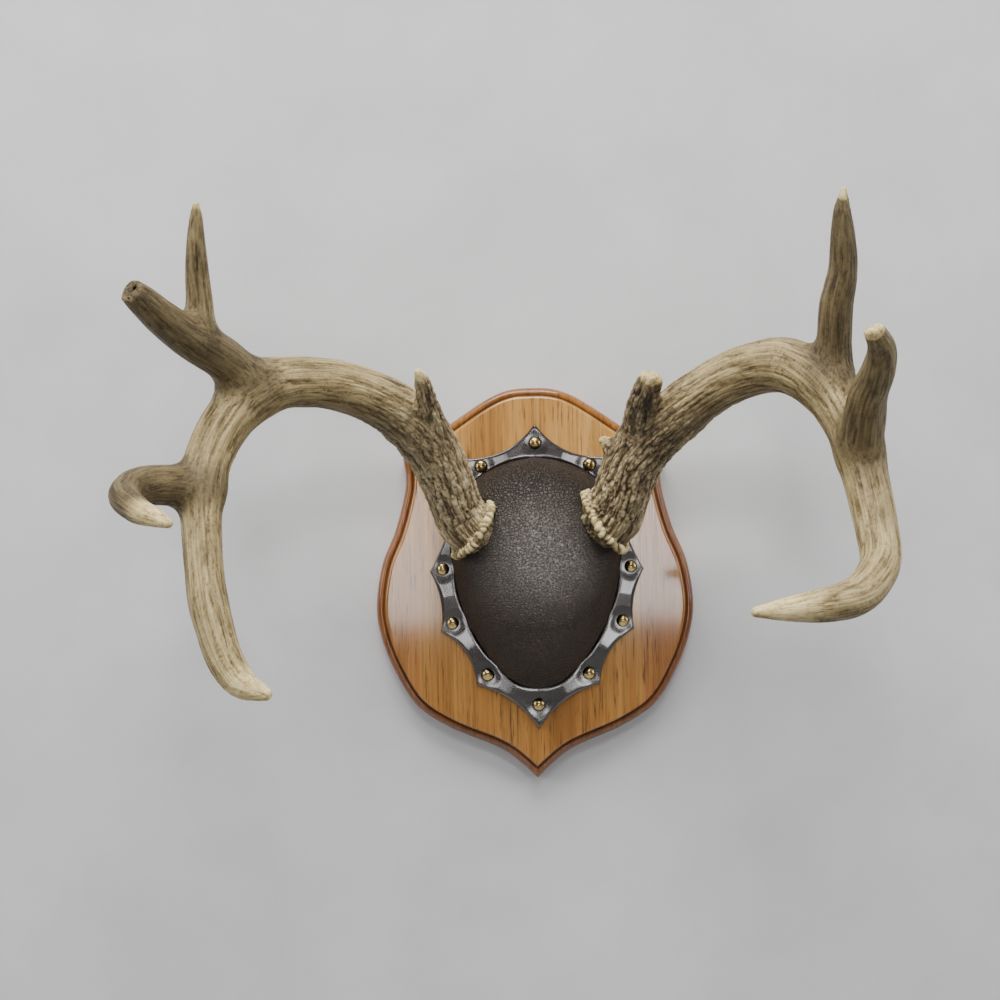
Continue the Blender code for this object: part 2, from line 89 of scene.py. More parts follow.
# Cap: half outline of its base about its axis, and how its slope rounds over.
CAP_CENTRE_Z = 0.01
CAP_HALF = [
    (0.0, 0.096), (0.021, 0.092), (0.042, 0.082), (0.056, 0.065), (0.0625, 0.035),
    (0.0628, 0.012), (0.0565, -0.018), (0.046, -0.041), (0.031, -0.062),
    (0.016, -0.0745), (0.0, -0.079),
]
CAP_BASE_Y = CAP_HIGH.y
CAP_HEIGHT = CAP_HIGH.y - CAP_LOW.y
CAP_EDGE_FULLNESS = 0.75
CAP_CROWN_FULLNESS = 0.8
# Centre of the painted sheen on the cap.
PAINTED_SHEEN_CENTRE = (CAP_AXIS_X, -0.06, 0.024)

# Trim: its points, and how far the edge between one point and the next curves inwards.
TRIM_POINTS = [
    (0.0, 0.1217), (0.053, 0.0958), (0.0812, 0.0103), (0.0734, -0.0353),
    (0.0468, -0.0764), (0.0, -0.1106),
]
TRIM_SAGS = [0.008, 0.004, 0.004, 0.0065, 0.0055]
TRIM_THICKNESS = 0.0024

# Antlers: the skin's fineness, the burr, and stations (x, y, z, radius) from root to tip.
SKIN_VOXEL = 0.0015
ROUGH_LENGTH = 0.165
PATH_STEPS = 5
BURR_HALF_THICKNESS = 0.0017
BURR_EDGE = 0.0013
BURR_PEARLS = 36
BURR_RELIEF = 0.0032
LEFT_BURR = ((-0.0457, -0.0532, 0.0424), (-0.79, -0.28, 0.54), 0.024)
RIGHT_BURR = ((0.0516, -0.0532, 0.0469), (0.8, -0.28, 0.53), 0.0264)
BURR_FILLET = 0.003
PIT_DEPTH = 0.003
# How dark the painted shade on the antlers' undersides is.
UNDERSIDE_PAINTED_SHADE = 0.55
BLEND_LENGTH = 0.0032
LUMP_HEIGHT = 0.0005
FLOWS = ("main", "tine", "fork")
LEFT_BEAM = [
    (-0.0401, -0.0512, 0.0386, 0.01), (-0.045, -0.053, 0.0419, 0.015),
    (-0.0497, -0.055, 0.0458, 0.0198), (-0.0556, -0.0592, 0.055, 0.0192),
    (-0.0605, -0.0655, 0.067, 0.0184), (-0.0702, -0.079, 0.093, 0.0193),
    (-0.09, -0.1, 0.122, 0.0198), (-0.119, -0.12, 0.14, 0.018),
    (-0.15, -0.139, 0.147, 0.0174), (-0.18, -0.158, 0.144, 0.0175),
    (-0.2, -0.172, 0.128, 0.017), (-0.214, -0.184, 0.105, 0.0162),
    (-0.221, -0.194, 0.077, 0.0148), (-0.2198, -0.205, 0.041, 0.0128),
    (-0.215, -0.214, 0.003, 0.013), (-0.206, -0.221, -0.029, 0.012),
    (-0.1935, -0.227, -0.049, 0.0102), (-0.1765, -0.232, -0.0568, 0.0042),
]
LEFT_BROW = [
    (-0.068, -0.088, 0.099, 0.0115), (-0.0722, -0.105, 0.118, 0.0094),
    (-0.0762, -0.122, 0.135, 0.007), (-0.0782, -0.134, 0.147, 0.005),
    (-0.0802, -0.14, 0.1525, 0.003),
]
LEFT_SECOND = [
    (-0.19, -0.164, 0.142, 0.015), (-0.207, -0.186, 0.16, 0.0142),
    (-0.2228, -0.206, 0.1706, 0.0136), (-0.237, -0.228, 0.1815, 0.0118),
    (-0.2455, -0.246, 0.1905, 0.0104), (-0.2512, -0.256, 0.1962, 0.0084),
]
LEFT_FORK = [
    (-0.2195, -0.203, 0.175, 0.0105), (-0.2186, -0.208, 0.1935, 0.0088),
    (-0.2186, -0.214, 0.212, 0.0076), (-0.2179, -0.221, 0.2304, 0.0062),
    (-0.2166, -0.227, 0.2454, 0.0044), (-0.2157, -0.231, 0.2548, 0.002),
]
LEFT_THIRD = [
    (-0.223, -0.191, 0.074, 0.015), (-0.24, -0.206, 0.0768, 0.0136),
    (-0.2556, -0.23, 0.076, 0.012), (-0.259, -0.252, 0.0695, 0.0103),
    (-0.2475, -0.27, 0.0612, 0.0084), (-0.2345, -0.284, 0.057, 0.0062),
    (-0.2245, -0.293, 0.0532, 0.0032),
]
RIGHT_BEAM = [
    (0.046, -0.0512, 0.0432, 0.011), (0.0512, -0.053, 0.0466, 0.0165),
    (0.0556, -0.055, 0.0504, 0.022), (0.0602, -0.0592, 0.0576, 0.0214),
    (0.0642, -0.066, 0.069, 0.0205), (0.0724, -0.08, 0.0925, 0.0205),
    (0.0848, -0.091, 0.1088, 0.0205), (0.0985, -0.102, 0.1208, 0.0198),
    (0.119, -0.12, 0.137, 0.0182), (0.145, -0.139, 0.15, 0.0179),
    (0.172, -0.158, 0.152, 0.0186), (0.1942, -0.175, 0.133, 0.0172),
    (0.2068, -0.188, 0.1055, 0.015), (0.2138, -0.2, 0.0735, 0.0147),
    (0.217, -0.214, 0.042, 0.0137), (0.2148, -0.232, 0.0195, 0.013),
    (0.199, -0.25, 0.0028, 0.0124), (0.178, -0.264, -0.003, 0.0113),
    (0.153, -0.276, -0.005, 0.008), (0.1275, -0.286, -0.006, 0.0032),
]
RIGHT_BROW = [
    (0.0745, -0.088, 0.102, 0.013), (0.0748, -0.104, 0.1195, 0.0116),
    (0.0768, -0.12, 0.134, 0.01), (0.079, -0.132, 0.1428, 0.0084),
    (0.08, -0.138, 0.147, 0.007),
]
RIGHT_SECOND = [
    (0.1975, -0.172, 0.141, 0.0152), (0.198, -0.182, 0.167, 0.0116),
    (0.198, -0.191, 0.189, 0.011), (0.201, -0.199, 0.211, 0.0096),
    (0.2, -0.206, 0.229, 0.0084), (0.1985, -0.212, 0.247, 0.0058),
    (0.1988, -0.217, 0.2612, 0.0018),
]
RIGHT_THIRD = [
    (0.2125, -0.192, 0.09, 0.014), (0.2105, -0.212, 0.1112, 0.0138),
    (0.209, -0.232, 0.127, 0.0125), (0.2102, -0.256, 0.1415, 0.0106),
    (0.208, -0.276, 0.153, 0.0086), (0.2002, -0.29, 0.1625, 0.0062),
]
# A short spur beside the right brow tine.
RIGHT_SPUR = [
    (0.066, -0.078, 0.088, 0.0075), (0.057, -0.08, 0.099, 0.006),
    (0.0505, -0.08, 0.1055, 0.0036),
]

# Stage: the wall stands just behind the shield's back, and the camera 1.3 m before it.
WALL_Y = 0.0008
FLOOR_Z = -1.1
EYE = (-0.0256, -1.3, 0.064)
EYE_ROLL = math.radians(-0.9)
SENSOR_WIDTH = 36
LENS = 60.6
WHITE = (1.0, 1.0, 1.0)
WARM = (1.0, 0.985, 0.955)
ROSY = (1.0, 0.97, 0.97)
BLUISH = (0.93, 0.96, 1.0)
# Area lights: name, place, target, (width, height), watts and colour.
LIGHTS = [
    ("top_soft", (-0.3, -1.2, 2.3), (0, -0.1, 0.05), (2.0, 1.0), 93, WARM),
    ("front_soft", (0.05, -1.9, 1.15), (0, -0.05, 0.03), (0.5, 0.24), 10, WHITE),
    ("left_window", (-1.8, -1.0, 0.55), (0, -0.1, 0.05), (0.6, 1.1), 15, BLUISH),
    ("right_window", (1.9, -0.9, 0.45), (0, -0.1, 0.05), (0.6, 1.1), 13, BLUISH),
    ("left_glare", (-0.3, -3.0, -0.06), (-0.1, 0, 0), (0.24, 0.38), 3.4, ROSY),
    ("right_glare", (0.4, -3.0, -0.05), (0.1, 0, 0), (0.36, 0.38), 5.8, ROSY),
    ("back_fill", (0.3, 2.2, 1.0), (0, 0, 0), (2.0, 2.0), 18, WHITE),
]


# ---- noise in numpy

def cell_random(cells, seed):
    """A fixed number from 0 to 1 for each integer cell."""
    mixed = cells[..., 0] * 73856093 ^ cells[..., 1] * 19349663 ^ cells[..., 2] * 83492791
    mixed = (mixed ^ (seed * 374761393)) & 0x7FFFFFFF
    mixed = ((mixed ^ (mixed >> 13)) * 1274126177) & 0x7FFFFFFF
    mixed = ((mixed ^ (mixed >> 15)) * 668265263) & 0x7FFFFFFF
    return (mixed ^ (mixed >> 16)) / 0x7FFFFFFF


def smooth_noise(points, seed):
    """Value noise from -1 to 1 with a feature size of one unit."""
    cells = np.floor(points).astype(np.int64)
    part = points - cells
    part = part * part * (3 - 2 * part)
    total = np.zeros(len(points))
    for corner in itertools.product((0, 1), repeat=3):
        weight = np.prod(np.where(corner, part, 1 - part), axis=1)
        total += weight * cell_random(cells + np.array(corner), seed)
    return total * 2 - 1


def layered_noise(points, seed, layers=3):
    total = np.zeros(len(points))
    for layer in range(layers):
        total += smooth_noise(points * 2 ** layer, seed + layer) / 2 ** layer
    return total / (2 - 2 ** (1 - layers))


def pebbles(points, seed):
    """Round bumps, one to a cell: 1 at each middle, falling to 0 at the cell's edge."""
    cells = np.floor(points).astype(np.int64)
    nearest = np.full(len(points), 9.0)
    second = np.full(len(points), 9.0)
    for offset in itertools.product((-1, 0, 1), repeat=3):
        cell = cells + np.array(offset)
        jitter = np.stack([cell_random(cell, seed + axis) for axis in range(3)], axis=1)
        distance = np.linalg.norm(points - cell - jitter, axis=1)
        second = np.minimum(second, np.maximum(distance, nearest))
        nearest = np.minimum(nearest, distance)
    return np.clip((second - nearest) * 1.8, 0, 1) ** 0.6


def fade(value, start, end):
    """0 before start and 1 after end, smoothly."""
    part = np.clip((value - start) / (end - start), 0, 1)
    return part * part * (3 - 2 * part)


# ---- mesh helpers

def smooth_path(knots, steps):
    """Points along a Catmull-Rom curve through the knots, with steps points to a span."""
    points = np.array(knots, float)
    points = np.vstack([2 * points[0] - points[1], points, 2 * points[-1] - points[-2]])
    path = []
    for a, b, c, d in zip(points, points[1:], points[2:], points[3:]):
        for step in range(steps):
            t = step / steps
            linear = (c - a) * t
            square = (2 * a - 5 * b + 4 * c - d) * t ** 2
            cube = (3 * b - 3 * c + d - a) * t ** 3
            path.append(b + 0.5 * (linear + square + cube))
    path.append(points[-2])
    return np.array(path)


def mirrored(points):
    return points[::-1] * np.array([-1, 1])


def closed(half):
    """A whole outline about the cap's axis from its right half, clockwise from the top."""
    return np.vstack([half[:-1], mirrored(half)[:-1]]) + np.array([CAP_AXIS_X, 0])


def link(name, data):
    piece = bpy.data.objects.new(name, data)
    bpy.context.scene.collection.objects.link(piece)
    return piece


def mesh_from_rings(name, rings, looped=False):
    """A mesh of rings of equal count, joined in turn: capped at both ends, or looped round."""
    rings = np.array(rings)
    ring_count, count = rings.shape[:2]
    shape = bmesh.new()
    verts = [shape.verts.new(point) for point in rings.reshape(-1, 3)]
    for ring in range(ring_count if looped else ring_count - 1):
        lower = ring * count
        upper = (ring + 1) % ring_count * count
        for index in range(count):
            after = (index + 1) % count
            corners = (lower + index, lower + after, upper + after, upper + index)
            shape.faces.new([verts[corner] for corner in corners])
    if not looped:
        shape.faces.new(verts[:count])
        shape.faces.new(verts[-count:])
    bmesh.ops.recalc_face_normals(shape, faces=shape.faces)
    mesh = bpy.data.meshes.new(name)
    shape.to_mesh(mesh)
    shape.free()
    mesh.shade_smooth()
    return mesh


def vectors(items, key):
    """One row for each vertex: its place or its normal."""
    flat = np.empty(len(items) * 3)
    items.foreach_get(key, flat)
    return flat.reshape(-1, 3)


def vertex_array(mesh):
    return vectors(mesh.vertices, "co")


def normal_array(mesh):
    return vectors(mesh.vertex_normals, "vector")


def move_vertices(mesh, points):
    mesh.vertices.foreach_set("co", points.ravel())
    mesh.update()


def store(mesh, name, values):
    """Keeps one number or one vector per vertex as an attribute for the material."""
    kind = "FLOAT" if values.ndim == 1 else "FLOAT_VECTOR"
    attribute = mesh.attributes.new(name, kind, "POINT")
    attribute.data.foreach_set("value" if values.ndim == 1 else "vector", values.ravel())


def finished(piece, material, nodes):
    """Gives a piece its material and its place on the body, and hides the CAD nodes it stands for.
    """
    piece.data.materials.clear()
    piece.data.materials.append(material)
    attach(piece, "root")
    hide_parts(*nodes)


# ---- material helpers

def node(tree, kind, inputs=None, **settings):
    """Adds a shader node; inputs may be plain values or other nodes' outputs."""
    made = tree.nodes.new("ShaderNode" + kind)
    for name, value in settings.items():
        setattr(made, name, value)
    for name, value in (inputs or {}).items():
        if isinstance(value, bpy.types.NodeSocket):
            tree.links.new(value, made.inputs[name])
        else:
            made.inputs[name].default_value = value
    return made


def maths(tree, operation, first, second=0.0, third=0.0):
    inputs = {0: first, 1: second, 2: third}
    return node(tree, "Math", inputs, operation=operation).outputs[0]


def mixed(tree, factor, first, second, blend="MIX"):
    inputs = {0: factor, 6: first, 7: second}
    made = node(tree, "Mix", inputs, data_type="RGBA", blend_type=blend)
    return made.outputs[2]


def ramp(tree, factor, stops):
    """A colour ramp from (position, colour or grey) stops."""
    made = node(tree, "ValToRGB", {0: factor})
    elements = made.color_ramp.elements
    while len(elements) < len(stops):
        elements.new(0.5)
    for element, (position, value) in zip(elements, stops):
        element.position = position
        element.color = (*value, 1) if isinstance(value, tuple) else (value, value, value, 1)
    return made.outputs[0]


def noise(tree, vector, scale, detail=3.0, roughness=0.55, distortion=0.0):
    inputs = {
        "Vector": vector, "Scale": scale, "Detail": detail,
        "Roughness": roughness, "Distortion": distortion,
    }
    return node(tree, "TexNoise", inputs).outputs[0]


def stretched(tree, vector, scale):
    return node(tree, "Mapping", {"Vector": vector, "Scale": scale}).outputs[0]


def between(tree, value, start, end, most=1.0):
    """0 where the value is start, most where it is end, and in proportion between."""
    inputs = {0: value, 1: start, 2: end, 3: 0.0, 4: most}
    return node(tree, "MapRange", inputs).outputs[0]


def multiplied(tree, colour, shade):
    return mixed(tree, 1.0, colour, shade, "MULTIPLY")


def jittered(tree, place, scale, detail, amount):
    """The place moved about by a noise, so that cells drawn on it aren't even."""
    wobble = node(tree, "TexNoise", {"Vector": place, "Scale": scale, "Detail": detail})
    inputs = {0: wobble.outputs[1], 1: (amount, amount, amount)}
    drift = node(tree, "VectorMath", inputs, operation="MULTIPLY").outputs[0]
    return node(tree, "VectorMath", {0: place, 1: drift}).outputs[0]


def cell_edges(tree, vector, scale, stops):
    """A ramp of the distance to the nearest edge of a pattern of cells."""
    inputs = {"Vector": vector, "Scale": scale}
    gap = node(tree, "TexVoronoi", inputs, feature="DISTANCE_TO_EDGE").outputs[0]
    return ramp(tree, gap, stops)


def attribute(tree, name, output="Fac"):
    return node(tree, "Attribute", attribute_name=name).outputs[output]


def bump(tree, height, distance, strength=1.0, below=None):
    inputs = {"Height": height, "Distance": distance, "Strength": strength}
    if below:
        inputs["Normal"] = below
    return node(tree, "Bump", inputs).outputs[0]


def new_material(name):
    """A material, its tree, its Principled shader and the object's own coordinates."""
    material = bpy.data.materials.new(name)
    material.use_nodes = True
    tree = material.node_tree
    place = node(tree, "TexCoord").outputs["Object"]
    return material, tree, tree.nodes["Principled BSDF"], place


def plug(shader, **sockets):
    for name, value in sockets.items():
        socket = shader.inputs[name.replace("_", " ")]
        if isinstance(value, bpy.types.NodeSocket):
            shader.id_data.links.new(value, socket)
        else:
            socket.default_value = value


# ---- materials

def antler_material():
    """Antler: dark cracks, tan ridges, fine lengthwise streaks, cream pearls and tips."""
    material, tree, shader, place = new_material("antler")
    streaks = 0.0
    fines = 0.0
    for name in FLOWS:
        flow = attribute(tree, f"flow_{name}", "Vector")
        share = attribute(tree, f"share_{name}")
        streak = noise(tree, stretched(tree, flow, (620, 620, 34)), 1.0, 4.0, 0.6)
        fine = noise(tree, stretched(tree, flow, (1900, 1900, 240)), 1.0, 3.0, 0.6)
        streaks = maths(tree, "MULTIPLY_ADD", streak, share, streaks)
        fines = maths(tree, "MULTIPLY_ADD", fine, share, fines)
    patches = noise(tree, place, 34.0, 4.0, 0.6)
    flecks = noise(tree, place, 420.0, 3.0, 0.65)
    shift = maths(tree, "MULTIPLY_ADD", streaks, 1.3, -0.65)
    fine_shift = maths(tree, "MULTIPLY_ADD", fines, 0.5, -0.25)
    height = maths(tree, "ADD", maths(tree, "ADD", attribute(tree, "tone"), shift), fine_shift)
    bark = ramp(tree, height, [
        (0.02, (0.012, 0.008, 0.004)), (0.28, (0.052, 0.035, 0.019)),
        (0.52, (0.175, 0.125, 0.065)), (0.78, (0.44, 0.34, 0.185)),
        (1.00, (0.7, 0.585, 0.36)),
    ])
    plain = ramp(tree, height, [
        (0.1, (0.06, 0.04, 0.015)), (0.36, (0.21, 0.15, 0.064)),
        (0.6, (0.4, 0.305, 0.14)), (0.9, (0.6, 0.48, 0.245)),
    ])
    colour = mixed(tree, attribute(tree, "smooth"), bark, plain)
    shade = ramp(tree, patches, [(0.32, (0.72, 0.7, 0.66)), (0.68, (1.16, 1.15, 1.12))])
    colour = multiplied(tree, colour, shade)
    speckle = ramp(tree, flecks, [(0.34, 0.72), (0.46, 1.0)])
    colour = multiplied(tree, colour, speckle)
    # Darkened where the dark attribute says: the branches' darker tone, hollow cores, and painted
    # shade on the undersides.
    dark = multiplied(tree, colour, (0.33, 0.31, 0.27, 1))
    colour = mixed(tree, attribute(tree, "dark"), colour, dark)
    cream = ramp(tree, height, [
        (0.1, (0.22, 0.14, 0.045)), (0.42, (0.6, 0.45, 0.185)),
        (0.8, (0.93, 0.77, 0.4)),
    ])
    colour = mixed(tree, attribute(tree, "cream"), colour, cream)
    small = bump(tree, fines, 0.0004, 0.7)
    plug(
        shader, Base_Color=colour, Roughness=ramp(tree, height, [(0.2, 0.72), (0.9, 0.44)]),
        Normal=bump(tree, streaks, 0.001, 0.8, small), Specular_IOR_Level=0.4,
    )
    return material


def wood_material():
    """Lacquered wood: upright grain, dark pores, boards of different tone, a painted sheen at the
    top and a painted shadow in the edge's step.
    """
    material, tree, shader, place = new_material("lacquered_wood")
    broad = noise(tree, stretched(tree, place, (38, 38, 3.4)), 1.0, 4.0, 0.6, 0.5)
    lines = noise(tree, stretched(tree, place, (420, 420, 8)), 1.0, 5.0, 0.7)
    pores = noise(tree, stretched(tree, place, (720, 720, 38)), 1.0, 3.0, 0.6)
    base = ramp(tree, broad, [
        (0.3, (0.27, 0.105, 0.018)), (0.5, (0.37, 0.16, 0.032)), (0.72, (0.48, 0.23, 0.055)),
    ])
    line_shade = ramp(tree, lines, [(0.3, 0.55), (0.48, 0.95), (0.7, 1.22)])
    colour = multiplied(tree, base, line_shade)
    across, _, up = node(tree, "SeparateXYZ", {0: place}).outputs
    redder = multiplied(tree, colour, (0.8, 0.68, 0.72, 1))
    for side, seam, amount in (("LESS", LEFT_SEAM_X, 0.7), ("GREATER", RIGHT_SEAM_X, 0.9)):
        board = maths(tree, f"{side}_THAN", across, seam)
        colour = mixed(tree, maths(tree, "MULTIPLY", board, amount), colour, redder)
    # Painted sheen: the wood turns lighter and bluer towards the top.
    upper = between(tree, up, -0.12, 0.05)
    painted_sheen_tint = multiplied(tree, colour, (1.3, 1.48, 1.75, 1))
    colour = mixed(tree, upper, colour, painted_sheen_tint)
    bead = multiplied(tree, colour, (0.54, 0.4, 0.25, 1))
    colour = mixed(tree, attribute(tree, "bead"), colour, bead)
    pore_mask = ramp(tree, pores, [(0.32, 0.75), (0.43, 0.0)])
    colour = mixed(tree, pore_mask, colour, (0.06, 0.02, 0.008, 1))
    # Painted shadow along the step in the moulded edge.
    colour = mixed(tree, attribute(tree, "groove_shadow"), colour, (0.04, 0.014, 0.006, 1))
    plug(
        shader, Base_Color=colour, Roughness=0.42, Normal=bump(tree, pores, 0.0002, 0.35),
        Specular_IOR_Level=0.15, Coat_Weight=0.9, Coat_Roughness=0.08,
        Coat_Normal=bump(tree, lines, 0.00005, 0.12),
    )
    return material


def cap_leather_material():
    """Dark pebbled leather with small cells and cracks; a painted sheen lightens its middle, where
    the cracks get a painted silvery highlight.
    """
    material, tree, shader, place = new_material("pebbled_leather")
    patches = noise(tree, place, 32.0, 4.0, 0.6)
    creases = noise(tree, place, 500.0, 3.0, 0.7)
    grain = cell_edges(tree, jittered(tree, place, 190.0, 2.0, 0.0036), 430.0, [
        (0.0, 0.0), (0.16, 0.75), (0.5, 1.0),
    ])
    cracks = cell_edges(tree, jittered(tree, place, 120.0, 4.0, 0.012), 245.0, [
        (0.0, 1.0), (0.07, 0.0),
    ])
    offset = node(tree, "VectorMath", {0: place, 1: PAINTED_SHEEN_CENTRE},
                  operation="DISTANCE").outputs[1]
    patchy = ramp(tree, patches, [(0.4, 0.1), (0.6, 1.0)])
    # Painted highlight: the cracks show only near the sheen's centre, in patches.
    middle = maths(tree, "MULTIPLY", between(tree, offset, 0.044, 0.014), patchy)
    cracks = maths(tree, "MULTIPLY", cracks, middle)
    colour = ramp(tree, patches, [
        (0.3, (0.014, 0.007, 0.003)), (0.55, (0.024, 0.014, 0.006)), (0.75, (0.038, 0.024, 0.012)),
    ])
    # Painted sheen: the middle of the cap is painted lighter.
    painted_sheen = between(tree, offset, 0.056, 0.012, 0.6)
    colour = mixed(tree, painted_sheen, colour, (0.21, 0.19, 0.17, 1))
    grain_shade = ramp(tree, grain, [(0.0, 0.4), (0.8, 1.15)])
    colour = multiplied(tree, colour, grain_shade)
    # Painted highlight: silvery crack lines.
    colour = mixed(tree, maths(tree, "MULTIPLY", cracks, 0.8), colour, (0.42, 0.4, 0.37, 1))
    small = bump(tree, creases, 0.0004, 0.5)
    grained = bump(tree, grain, 0.0007, 0.9, small)
    plug(
        shader, Base_Color=colour, Roughness=ramp(tree, creases, [(0.3, 0.36), (0.7, 0.56)]),
        Normal=bump(tree, cracks, 0.0005, 0.7, grained), Specular_IOR_Level=0.33,
    )
    return material


def trim_leather_material():
    """Glossy espresso leather."""
    material, tree, shader, place = new_material("glossy_leather")
    patches = noise(tree, place, 60.0, 3.0)
    creases = noise(tree, place, 900.0, 3.0, 0.6)
    colour = ramp(tree, patches, [(0.35, (0.012, 0.007, 0.005)), (0.7, (0.026, 0.016, 0.012))])
    plug(
        shader, Base_Color=colour, Roughness=ramp(tree, patches, [(0.3, 0.18), (0.8, 0.28)]),
        Normal=bump(tree, creases, 0.0001, 0.4), Coat_Weight=1.0, Coat_Roughness=0.14,
        Coat_IOR=1.6,
    )
    return material


def brass_material():
    """Antique brass: bright on the dome, with painted shade darkening it where it meets the
    leather.
    """
    material, tree, shader, place = new_material("antique_brass")
    spots = noise(tree, place, 700.0, 3.0, 0.6)
    bright = ramp(tree, spots, [(0.35, (0.24, 0.16, 0.06)), (0.6, (0.5, 0.38, 0.17))])
    # Painted shade: nearly black towards the foot of each head.
    colour = mixed(tree, attribute(tree, "rim"), bright, (0.012, 0.009, 0.005, 1))
    plug(shader, Base_Color=colour, Metallic=1.0,
         Roughness=ramp(tree, spots, [(0.3, 0.12), (0.7, 0.24)]),
         Normal=bump(tree, spots, 0.0002, 0.25))
    return material


def steel_material():
    """Zinc-plated steel with faint brushing."""
    material, tree, shader, place = new_material("zinc_plated_steel")
    brushing = noise(tree, stretched(tree, place, (2600, 2600, 160)), 1.0, 2.0)
    stains = noise(tree, place, 180.0, 3.0)
    colour = ramp(tree, stains, [(0.3, (0.42, 0.41, 0.38)), (0.7, (0.6, 0.6, 0.58))])
    plug(shader, Base_Color=colour, Metallic=1.0,
         Roughness=ramp(tree, brushing, [(0.3, 0.28), (0.7, 0.45)]),
         Normal=bump(tree, brushing, 0.0001, 0.3))
    return material


# ---- shield

def inset(outline, distance):
    """A clockwise outline moved inwards by distance, with mitred corners."""
    before = outline - np.roll(outline, 1, axis=0)
    after = np.roll(outline, -1, axis=0) - outline
    before /= np.linalg.norm(before, axis=1)[:, None]
    after /= np.linalg.norm(after, axis=1)[:, None]
    normal_before = np.stack([before[:, 1], -before[:, 0]], axis=1)
    normal_after = np.stack([after[:, 1], -after[:, 0]], axis=1)
    opening = 1 + np.sum(normal_before * normal_after, axis=1)
    return outline + distance * (normal_before + normal_after) / opening[:, None]


def kept_to_its_side(outline, source):
    """An inset outline whose points stay on the side of the middle line they came from."""
    kept = outline.copy()
    crossed = (source[:, 0] * outline[:, 0] < 0) & (source[:, 1] < 0)
    tip = outline[np.argmin(source[:, 1])]
    kept[crossed] = tip
    return kept


def ring_at(outline, y):
    """An outline of (x, z) points at the depth y, one for all or one for each."""
    return np.stack([outline[:, 0], np.full(len(outline), y), outline[:, 1]], axis=1)


def plaque_outline(steps=9):
    crest_knots = np.vstack([mirrored(np.array(PLAQUE_CREST))[:-1], PLAQUE_CREST])
    crest = smooth_path(crest_knots, steps)
    flank = smooth_path(PLAQUE_FLANK, steps)
    return np.vstack([crest[:-1], flank[:-1], mirrored(flank)[:-1]])


def make_plaque(material):
    outline = plaque_outline()
    rings = []
    for edge, height in PLAQUE_EDGE:
        rings.append(ring_at(kept_to_its_side(inset(outline, edge), outline), -height))
    plaque = link("shield", mesh_from_rings("shield", rings))
    mesh = plaque.data
    # Painted shadow: a dark line along the step in the moulded edge.
    insets = np.repeat([edge for edge, _ in PLAQUE_EDGE], len(outline))
    depth = 1 - np.abs(insets - GROOVE_INSET) / GROOVE_HALF_WIDTH
    store(mesh, "groove_shadow", GROOVE_SHADOW_DARKNESS * np.clip(depth, 0, 1))
    store(mesh, "bead", np.where(insets < GROOVE_INSET, 1.0, 0.0))
    merge_doubles(mesh)
    cut_back(plaque)
    plaque.data.set_sharp_from_angle(angle=SHARP_ANGLE)
    finished(plaque, material, ["shield_plaque"])


def merge_doubles(mesh):
    """Joins points that lie on each other and drops faces without area."""
    shape = bmesh.new()
    shape.from_mesh(mesh)
    bmesh.ops.remove_doubles(shape, verts=shape.verts, dist=2e-5)
    bmesh.ops.dissolve_degenerate(shape, edges=shape.edges, dist=1e-6)
    shape.to_mesh(mesh)
    shape.free()


def drill(outline, far_y):
    """A cutter with the outline's section, from behind the back face in to far_y."""
    rings = [ring_at(outline, CUT_START_Y), ring_at(outline, far_y)]
    return link("drill", mesh_from_rings("drill", rings))


def circle(radius, centre_x, centre_z, sides=40):
    angles = np.arange(sides) * math.tau / sides
    offsets = radius * np.stack([np.sin(angles), np.cos(angles)], axis=1)
    return offsets + np.array([centre_x, centre_z])


def stadium(half_width, low_z, high_z, sides=16):
    angles = np.arange(sides + 1) * math.pi / sides
    top = np.stack([-half_width * np.cos(angles), high_z + half_width * np.sin(angles)], axis=1)
    bottom = np.stack([half_width * np.cos(angles), low_z - half_width * np.sin(angles)], axis=1)
    return np.vstack([top, bottom])


def cut_back(plaque):
    """The recess for the keyhole plate, the room for the screw's head, and the counterbores."""
    low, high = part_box("keyhole_plate")
    half_width = (high.x - low.x) / 2
    middle = (low.z + high.z) / 2
    recess = stadium(half_width + CUT_GAP, low.z + half_width, high.z - half_width)
    head_room = stadium(
        HEAD_ROOM_HALF_WIDTH, middle - HEAD_ROOM_BELOW_MIDDLE, middle + HEAD_ROOM_ABOVE_MIDDLE)
    cutters = [drill(recess, low.y - CUT_GAP), drill(head_room, HEAD_ROOM_Y)]
    for name in ("upper_cap_screw", "lower_cap_screw"):
        low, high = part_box(name)
        counterbore = circle(COUNTERBORE_RADIUS, CAP_AXIS_X, (low.z + high.z) / 2)
        cutters.append(drill(counterbore, COUNTERBORE_Y))
    for cutter in cutters:
        modifier = plaque.modifiers.new("cut", "BOOLEAN")
        modifier.object = cutter
    replace_with_evaluated(plaque)
    for cutter in cutters:
        bpy.data.objects.remove(cutter)


def replace_with_evaluated(piece):
    """Applies a piece's modifiers to its mesh."""
    depsgraph = bpy.context.evaluated_depsgraph_get()
    mesh = bpy.data.meshes.new_from_object(piece.evaluated_get(depsgraph))
    piece.modifiers.clear()
    piece.data = mesh


# ---- cap and trim

def polar(outline, centre, angles):
    """An outline's distance from a centre at each angle, clockwise from the top."""
    offset = outline - centre
    turn = np.arctan2(offset[:, 0], offset[:, 1])
    order = np.argsort(turn)
    radius = np.linalg.norm(offset, axis=1)
    return np.interp(angles, turn[order], radius[order], period=math.tau)


def cap_outline():
    return closed(smooth_path(CAP_HALF, 12))


